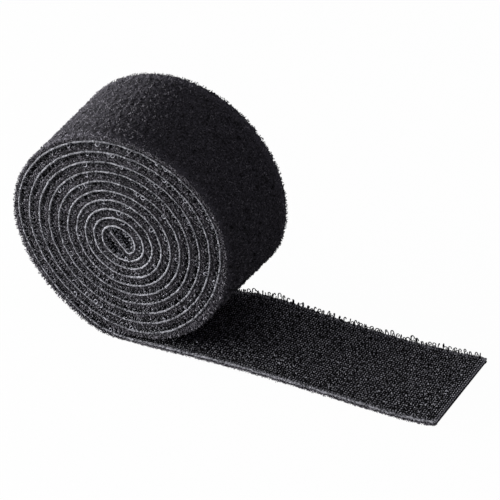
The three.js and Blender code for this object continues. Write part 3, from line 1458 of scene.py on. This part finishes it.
@dataclass(frozen=True)
class LoopTape:
    """The loop tape: a knitted ground, its brushed nap, and the fuzz along its edges."""

    path: TapePath
    stretch: Stretch
    seed: int = 31
    rim_seed: int = 36
    shown_turns: float = 1.06
    napped_turns: float = 1.02
    nap_parts: int = 3
    wound_pile: Pile = Pile(0.68, 1, (-0.35, 0.35, 0.35), 0.75, 0.12, 0)
    laid_pile: Pile = Pile(0.6, 0.6, (-0.35, 0.25, 0.35), 0.35, 0, 0.3)

    # The knitted ground
    fine_step: float = 0.35
    side_setback: float = 0.12
    rounding: float = 0.12
    back_rows: int = 2
    outer_turn_rows: int = 60
    inner_turn_rows: int = 4
    laid_rows: int = 40
    tuft_relief: Ripples = Ripples(0.13, 1.1, 31)
    crumbs: Ripples = Ripples(0.06, 0.5, 32)
    crumb_slant: float = 3
    side_band: float = 0.2
    side_inset: float = 0.06
    side_rags: Ripples = Ripples(0.05, 0.6, 33)
    rag_slant: float = 4
    face_share: float = 0.9
    face_loft: float = 0.07
    # Painted light on the ground's face near both edges
    ground_rim_painted_light: float = 0.35

    # A fibre's form, with its taper, and its tones at the root, the bend and the tip: painted shade
    # darkens the root
    fibre_sides: int = 3
    fibre_spread: float = 0.38
    fibre_lengths: tuple[float, float] = (0.6, 1.25)
    fibre_girths: tuple[float, float] = (0.8, 1.2)
    fibre_curl: float = 0.6
    fibre_points: tuple[float, ...] = (0, 0.65, 1.0)
    fibre_taper: tuple[float, ...] = (1.0, 0.95, 0)
    fibre_painted_shade: tuple[float, ...] = (0.3, 0.75, 1.0)
    root_sink: float = 0.06
    matted: float = 0.84

    # The nap, in tufts
    nap_length: float = 0.42
    nap_radius: float = 0.09
    tuft_spacing: float = 0.92
    under_spacing: float = 1.1
    tuft_fibres: int = 5
    tuft_spread: float = 0.22
    tuft_lean: float = 0.35
    tuft_shades: Shades = Shades(0.25, 0.24, 1.5, 1.5)
    fibre_shades: Shades = Shades(0, 0.3, 0.9, 1.4)
    tone_ripples: Ripples = Ripples(0.4, 1.3, 40)
    streak_share: float = 0.35
    palest_nap: float = 0.68
    rim_width: float = 1.5
    rim_splay: float = 1.5
    rim_rise: float = 0.6
    # Painted light on the nap near both edges, fading over this run
    lit_rim_run: float = 2.8
    nap_rim_painted_light: float = 0.5

    # Fibres painted lit and dark in clumps: painted light and painted shade
    clumps: Ripples = Ripples(1.0, 0.42, 38)
    lit_share: float = 0.4
    core_lit_loss: float = 0.1
    clumping: float = 0.22
    lit_tones: tuple[float, float] = (0.65, 1.1)
    unlit_tones: tuple[float, float] = (0, 0.2)

    # The fuzz along the slit edges
    edge_spacing: float = 0.32
    back_edge_thinning: float = 1.25
    edge_length: float = 0.37
    edge_inset: float = 0.1
    edge_splay: float = 0.5
    film_gap: float = 0.08
    outer_turn_tone: float = 0.5
    outer_turn_spread: float = 0.14

    # The nap of the inner turns close to the edges, and its stray fibres
    rim_spacing: float = 0.42
    back_rim_thinning: float = 1.4
    back_rim_narrowing: float = 3
    inner_rise: float = 0.65
    inner_splay: float = 0.35
    stray_length: float = 0.62
    stray_radius: float = 0.07
    stray_spacing: float = 0.45
    stray_splay: float = 0.15
    stray_shades: Shades = Shades(0, 0.7, 0.9, 1.3)

    @property
    def pile(self) -> Pile:
        """The pile of the winding or of the free end."""
        return self.laid_pile if self.stretch.laid else self.wound_pile

    def near_edge(self, across: np.ndarray, run: float) -> np.ndarray:
        """How near places are to a long edge: 1 there, easing to 0 at the run's length from it."""
        return smoothstep((np.abs(across) - self.path.sizes.width / 2 + self.side_setback) / run + 1)

    def ground(self, name: str, start: float, end: float, rows: int) -> bpy.types.Object:
        """Makes the knitted ground and the dense root of the nap.

        Args:
            name: The piece's name.
            start: Where the piece starts along the tape.
            end: Where it ends along the tape.
            rows: How many rows of corners its loop face has.

        Returns:
            The new piece.
        """
        base, depth = self.path.sizes.loop_ground_face, self.pile.depth
        width = self.path.sizes.width - 2 * self.side_setback
        section = band_section((base, base + depth), width, self.rounding, (self.back_rows, rows))
        travel = stations(start, end, self.fine_step)
        place, outward, across = travel[:, None], section[:, 0], section[:, 1]
        outer_share = (outward - base) / depth
        relief = np.zeros((len(travel), len(section), 2))
        tufts = self.tuft_relief.at(place, across)
        crumbs = self.crumbs.at(place, across + self.crumb_slant * outward)
        relief[:, :, 0] = (tufts + crumbs) * outer_share**2
        side = np.abs(across) > width / 2 - self.side_band
        rags = self.side_rags.at(place, self.rag_slant * outward)
        relief[:, :, 1] = side * (rags - self.side_inset) * np.sign(across)
        on_face = outer_share > self.face_share
        # Lighter on the face, plus painted light near both edges
        rim = self.near_edge(across, self.lit_rim_run) * on_face
        shape = Shape()
        shape.strip(travel, section, relief, self.face_loft * on_face + self.ground_rim_painted_light * rim)
        return shape.piece(name, self.path, KNIT_GROUND.material())

    def fibres(
        self,
        shape: Shape,
        roots: np.ndarray,
        way: np.ndarray,
        size: tuple[float, float],
        tones: np.ndarray,
        rng: np.random.Generator,
    ) -> None:
        """Adds bent fibres to a shape, dark at the root and lightest at the tip.

        Args:
            shape: The shape that they are added to.
            roots: Where they start on the flat tape, one row each.
            way: The direction that they mostly take, one row each or one for all.
            size: Their usual length and radius.
            tones: How light each one's tip is, from 0 to 1.
            rng: The source of random numbers.
        """
        count = len(roots)
        first = unit(way + rng.normal(0, self.fibre_spread, (count, 3)))
        curl = unit(np.cross(first, rng.normal(0, 1, (count, 3))))
        reach = size[0] * rng.uniform(*self.fibre_lengths, count)[:, None, None]
        share = np.array(self.fibre_points)[:, None]
        turned = (curl - self.fibre_curl * first)[:, None]
        bent = share * first[:, None] + self.fibre_curl * share**2 * turned
        centres = roots[:, None] + reach * bent
        proud = np.maximum(centres[:, :, 1] - self.path.sizes.loop_face, 0)
        centres[:, :, 1] -= self.matted * proud
        girth = size[1] * rng.uniform(*self.fibre_girths, count)
        radii = girth[:, None] * np.array(self.fibre_taper)
        # Painted shade toward each fibre's root
        tones = tones[:, None] * np.array(self.fibre_painted_shade)
        shape.strands(centres, radii, self.fibre_sides, tones, pointed=True)

    def nap(self, name: str, start: float, end: float, spacing: float) -> bpy.types.Object:
        """Makes the brushed nap over the loop face, in small tufts.

        Args:
            name: The piece's name.
            start: Where the nap starts along the tape.
            end: Where it ends along the tape.
            spacing: How far apart the tufts stand.

        Returns:
            The new piece.
        """
        sizes = self.path.sizes
        pile = self.pile
        rng = np.random.default_rng(self.seed + len(name) + place_seed(start))
        half = sizes.width / 2 - self.side_setback
        travel, across = scattered(start, end, -half, half, spacing, rng)
        lean = rng.normal(0, self.tuft_lean, (len(travel), 3))
        light = self.tuft_shades.drawn(rng, len(travel))
        travel, across, lean, light = (
            np.repeat(each, self.tuft_fibres, axis=0) for each in (travel, across, lean, light)
        )
        spread = rng.normal(0, self.tuft_spread, (2, len(travel)))
        travel = np.clip(travel + spread[0], start, end)
        across = np.clip(across + spread[1], -half, half)
        streaked = self.streak_share * across
        height = self.tuft_relief.at(travel, streaked)
        root = sizes.loop_ground_face + pile.depth - self.root_sink
        roots = np.stack([travel, root + height, across], axis=1)
        rim = self.near_edge(across, self.rim_width)
        way = lean + np.array(pile.nap_way)
        way[:, 1] += self.rim_rise * rim
        way[:, 2] += self.rim_splay * np.sign(across) * rim
        tufted = self.tone_ripples.at(travel, streaked)
        tones = light + self.fibre_shades.drawn(rng, len(travel)) + tufted
        # Painted light on the nap near both edges
        tones = np.clip(tones, 0, self.palest_nap) + self.nap_rim_painted_light * self.near_edge(across, self.lit_rim_run)
        shape = Shape()
        size = (self.nap_length * pile.length_share, self.nap_radius)
        self.fibres(shape, roots, way, size, tones, rng)
        return shape.piece(name, self.path, BRUSHED_NAP.material())

    def clumped(self, travel: np.ndarray, outward: np.ndarray, rng: np.random.Generator) -> np.ndarray:
        """Tones of fibres painted lit and dark in small clumps: painted light and painted shade.

        Args:
            travel: The fibres' places along the tape.
            outward: Their places outward, or across the tape.
            rng: The source of random numbers.

        Returns:
            Tones from 0 to about 1, most of them near one end or the other.
        """
        count = len(travel)
        clumps = self.clumping * self.clumps.at(travel, outward)
        share = self.lit_share - self.core_lit_loss * self.path.core_share(travel) + clumps
        lit = rng.uniform(0, 1, count) < np.clip(share, 0, 1)
        return np.where(lit, rng.uniform(*self.lit_tones, count), rng.uniform(*self.unlit_tones, count))

    def edge_fuzz(self, edge: Edge) -> bpy.types.Object:
        """Makes the fuzz that stands out of one slit edge of the loop tape.

        Args:
            edge: The edge of the tape.

        Returns:
            The new piece, evenly grey on the outer turn and in clumps of painted light and painted shade
            elsewhere.
        """
        sizes = self.path.sizes
        pile = self.pile
        rng = np.random.default_rng(self.seed + edge.value + place_seed(self.stretch.start))
        inner = sizes.film_face + self.film_gap
        outer = sizes.loop_ground_face + (pile.depth + pile.fuzz_over)
        thinning = 1 if edge is Edge.FRONT else self.back_edge_thinning
        spacing = self.edge_spacing * pile.length_share * thinning
        travel, outward = scattered(self.stretch.start, self.stretch.end, inner, outer, spacing, rng)
        count = len(travel)
        inset = self.side_setback + rng.uniform(0, self.edge_inset, count)
        roots = np.stack([travel, outward, edge.value * (sizes.width / 2 - inset)], axis=1)
        way = np.array([0.0, pile.fuzz_rise, self.edge_splay * edge.value])
        tones = self.clumped(travel, outward, rng) + pile.fuzz_light
        if not self.stretch.laid:
            even = self.outer_turn_tone + rng.normal(0, self.outer_turn_spread, count)
            tones = np.where(travel < self.path.travel_at(self.shown_turns), even, tones)
        shape = Shape()
        size = (self.edge_length * pile.length_share, self.nap_radius)
        self.fibres(shape, roots, way, size, tones, rng)
        name = f"edge_fuzz_{self.stretch.name}_{edge.name.lower()}"
        return shape.piece(name, self.path, BRUSHED_NAP.material())

    def rim_nap(self, edge: Edge, start: float) -> bpy.types.Object:
        """Makes the nap of the inner turns where it shows, close to one edge, and its stray fibres.

        The strays reach across to the hooks of the next turn.

        Args:
            edge: The edge of the tape.
            start: Where the inner turns start.

        Returns:
            The new piece.
        """
        sizes = self.path.sizes
        rng = np.random.default_rng(self.rim_seed + edge.value)
        front = edge is Edge.FRONT
        width = self.rim_width if front else self.rim_width / self.back_rim_narrowing
        spacing = self.rim_spacing * (1 if front else self.back_rim_thinning)
        root = sizes.loop_ground_face + self.wound_pile.depth - self.root_sink
        reach = sizes.width / 2 - self.side_setback
        shape = Shape()
        travel, inset = scattered(start, self.stretch.end, 0, width, spacing, rng)
        roots = np.stack([travel, np.full(len(travel), root), edge.value * (reach - inset)], axis=1)
        way = np.array([0.0, self.inner_rise, self.inner_splay * edge.value])
        tones = self.clumped(travel, inset, rng)
        self.fibres(shape, roots, way, (self.nap_length, self.nap_radius), tones, rng)
        travel, inset = scattered(0, self.stretch.end, 0, 2 * self.stray_spacing, self.stray_spacing, rng)
        roots = np.stack([travel, np.full(len(travel), root), edge.value * (reach - inset)], axis=1)
        way = np.array([0.0, 1.0, self.stray_splay * edge.value])
        tones = self.stray_shades.drawn(rng, len(travel))
        self.fibres(shape, roots, way, (self.stray_length, self.stray_radius), tones, rng)
        return shape.piece(f"rim_nap_{edge.name.lower()}", self.path, BRUSHED_NAP.material())


@dataclass(frozen=True)
class Lamp:
    """A soft oblong lamp: its place and size in millimetres, and its power in watts."""

    name: str
    place: tuple[float, float, float]
    size: tuple[float, float]
    power: float

    def hang(self, target: tuple[float, float, float]) -> None:
        """Adds the lamp to the scene.

        Args:
            target: The point that it faces, in millimetres.
        """
        data = bpy.data.lights.new(self.name, "AREA")
        data.shape = "RECTANGLE"
        data.size = self.size[0] * MILLIMETRE
        data.size_y = self.size[1] * MILLIMETRE
        data.energy = self.power
        lamp = new_object(self.name, data)
        lamp.location = Vector(self.place) * MILLIMETRE
        toward = Vector(target) * MILLIMETRE - lamp.location
        lamp.rotation_euler = toward.to_track_quat("-Z", "Y").to_euler()


@dataclass(frozen=True)
class Studio:
    """The camera, the lamps, the pale floor and the white surroundings.

    The camera's place is fitted to the photograph: it looks at a point on the part from a
    known direction and distance, and that point lies at a known pixel of the frame.
    """

    frame_pixels: float = 500
    focal_pixels: float = 4700
    azimuth: float = math.radians(26.985)
    elevation: float = math.radians(30.53)
    roll: float = math.radians(0.962)
    target: tuple[float, float, float] = (15.0, 0.0, 15.0)
    target_pixel: tuple[float, float] = (222.6, 262.5)
    distance: float = 894.16
    sensor_width: float = 36.0
    farthest_metres: float = 10
    floor_size: float = 4000.0
    floor_drop: float = 0.02
    floor_glow: float = 0.98
    key: Lamp = Lamp("key", (-380, -174, 62), (260, 116), 5.2)
    overhead: Lamp = Lamp("overhead", (-350, 0, 1050), (1300, 1300), 3.05)

    def camera(self) -> None:
        """Places the camera."""
        forward_x, forward_y = math.sin(self.azimuth), math.cos(self.azimuth)
        level, climb = math.cos(self.elevation), math.sin(self.elevation)
        back = Vector((forward_x * level, -forward_y * level, climb))
        right = Vector((forward_y, forward_x, 0))
        up = back.cross(right)
        turned_right = math.cos(self.roll) * right + math.sin(self.roll) * up
        turned_up = -math.sin(self.roll) * right + math.cos(self.roll) * up
        per_pixel = self.distance / self.focal_pixels
        offset_x = (self.target_pixel[0] - self.frame_pixels / 2) * per_pixel
        offset_y = (self.target_pixel[1] - self.frame_pixels / 2) * per_pixel
        place = Vector(self.target) + back * self.distance - turned_right * offset_x + turned_up * offset_y
        data = bpy.data.cameras.new("camera")
        data.sensor_width = self.sensor_width
        data.sensor_fit = "HORIZONTAL"
        data.lens = self.focal_pixels / self.frame_pixels * self.sensor_width
        data.clip_end = self.farthest_metres
        camera = new_object("camera", data)
        rotation = Matrix((turned_right, turned_up, back)).transposed()
        camera.matrix_world = Matrix.Translation(place * MILLIMETRE) @ rotation.to_4x4()
        bpy.context.scene.camera = camera

    def surroundings(self) -> None:
        """Makes the world: white where the camera sees it, and a soft dim light for the part."""
        world = bpy.data.worlds.new("surroundings")
        world.use_nodes = True
        tree = world.node_tree
        tree.nodes.clear()
        rays = add_node(tree, "LightPath").outputs
        straight = {0: rays["Is Camera Ray"], 1: rays["Is Transmission Ray"]}
        seen = add_node(tree, "Math", {"operation": "MAXIMUM"}, straight)
        soft = add_node(tree, "Background", {"Color": linear("#e9e6f2"), "Strength": 0.235})
        white = add_node(tree, "Background", {"Color": linear("#ffffff"), "Strength": 1.0})
        mixed = {0: seen.outputs[0], 1: soft.outputs[0], 2: white.outputs[0]}
        mix = add_node(tree, "MixShader", links=mixed)
        add_node(tree, "OutputWorld", links={"Surface": mix.outputs[0]})
        bpy.context.scene.world = world

    def floor(self) -> None:
        """Lays the floor: matte white paper that keeps the part's shadow.

        The paper's own light, which only the camera sees, lifts it to the white of the
        photograph's ground.
        """
        half = self.floor_size / 2 * MILLIMETRE
        drop = -self.floor_drop * MILLIMETRE
        mesh = bpy.data.meshes.new("floor")
        corners = [(-half, -half, drop), (half, -half, drop), (half, half, drop), (-half, half, drop)]
        mesh.from_pydata(corners, [], [(0, 1, 2, 3)])
        material, tree = new_finish("matte white paper")
        paper = add_node(tree, "BsdfPrincipled", {"Base Color": linear("#dcdcdc"), "Roughness": 0.9})
        glow = add_node(tree, "Emission", {"Color": linear("#ffffff")})
        seen = add_node(tree, "LightPath").outputs["Is Camera Ray"]
        share = add_node(tree, "Math", {"operation": "MULTIPLY", 1: self.floor_glow}, {0: seen})
        mixed = {0: share.outputs[0], 1: paper.outputs[0], 2: glow.outputs[0]}
        mix = add_node(tree, "MixShader", links=mixed)
        add_node(tree, "OutputMaterial", links={"Surface": mix.outputs[0]})
        mesh.materials.append(material)
        floor = new_object("floor", mesh)

    def build(self) -> None:
        """Sets the whole studio up."""
        self.camera()
        self.surroundings()
        self.floor()
        self.key.hang(self.target)
        self.overhead.hang(self.target)
        bpy.context.scene.view_settings.view_transform = "Standard"


def dress_winding(path: TapePath, stretch: Stretch) -> dict[Ply, list[bpy.types.Object]]:
    """Makes the pieces of the winding.

    Args:
        path: The tape's path.
        stretch: The winding's stretch.

    Returns:
        The pieces of each layer.
    """
    hook, film, loop = HookTape(path, stretch), BondFilm(path, stretch), LoopTape(path, stretch)
    shown, last = hook.shown_columns, hook.core_columns
    core = replace(hook, stretch=replace(stretch, start=stretch.end - hook.core_run))
    turn, end = path.travel_at(loop.shown_turns), stretch.end
    pieces = {
        Ply.HOOK: [
            hook.ground(shown=False),
            hook.cut_edges(),
            hook.hooks("winding_front", slice(shown), seed=1),
            hook.hooks("winding_back", slice(1 - shown, None), seed=2),
            core.hooks("core", slice(shown, last), seed=4),
        ],
        Ply.FILM: [film.film()],
        Ply.LOOP: [
            loop.ground("loop_ground_outer_turn", 0, turn, loop.outer_turn_rows),
            loop.ground("loop_ground_inner_turns", turn, end, loop.inner_turn_rows),
            loop.edge_fuzz(Edge.FRONT),
            loop.edge_fuzz(Edge.BACK),
            loop.rim_nap(Edge.FRONT, turn),
            loop.rim_nap(Edge.BACK, turn),
        ],
    }
    parts = stations(0, path.travel_at(loop.napped_turns), turn / loop.nap_parts)
    for number, (near, far) in enumerate(zip(parts, parts[1:]), 1):
        pieces[Ply.LOOP].append(loop.nap(f"nap_outer_{number}", near, far, loop.tuft_spacing))
    return pieces


def dress_tail(path: TapePath, stretch: Stretch) -> dict[Ply, list[bpy.types.Object]]:
    """Makes the pieces of one stretch of the free end.

    Args:
        path: The tape's path.
        stretch: The stretch of the free end.

    Returns:
        The pieces of each layer.
    """
    hook, film, loop = HookTape(path, stretch), BondFilm(path, stretch), LoopTape(path, stretch)
    name, start, end = stretch.name, stretch.start, stretch.end
    return {
        Ply.HOOK: [
            hook.ground(shown=True),
            hook.cut_edges(),
            hook.hooks(name, slice(None), seed=3),
        ],
        Ply.FILM: [film.film()],
        Ply.LOOP: [
            loop.ground(f"loop_ground_{name}", start, end, loop.laid_rows),
            loop.nap(f"nap_{name}", start, end, loop.under_spacing),
            loop.edge_fuzz(Edge.FRONT),
            loop.edge_fuzz(Edge.BACK),
        ],
    }


def main() -> None:
    """Builds the studio, the winding and the free end, in that order."""
    logging.basicConfig(level=logging.INFO, format="%(name)s: %(message)s")
    Studio().build()
    path = TapePath(TapeSizes.from_frame())
    log.info("%.2f turns, %.1f mm wound", path.turns, path.length)
    for stretch in tape_stretches(path):
        dress = dress_tail if stretch.laid else dress_winding
        for ply, pieces in dress(path, stretch).items():
            for piece in pieces:
                stretch.attach(piece, ply, path.sizes)
                log.info("%s: %d faces", piece.name, len(piece.data.polygons))


if __name__ == "__main__":
    main()
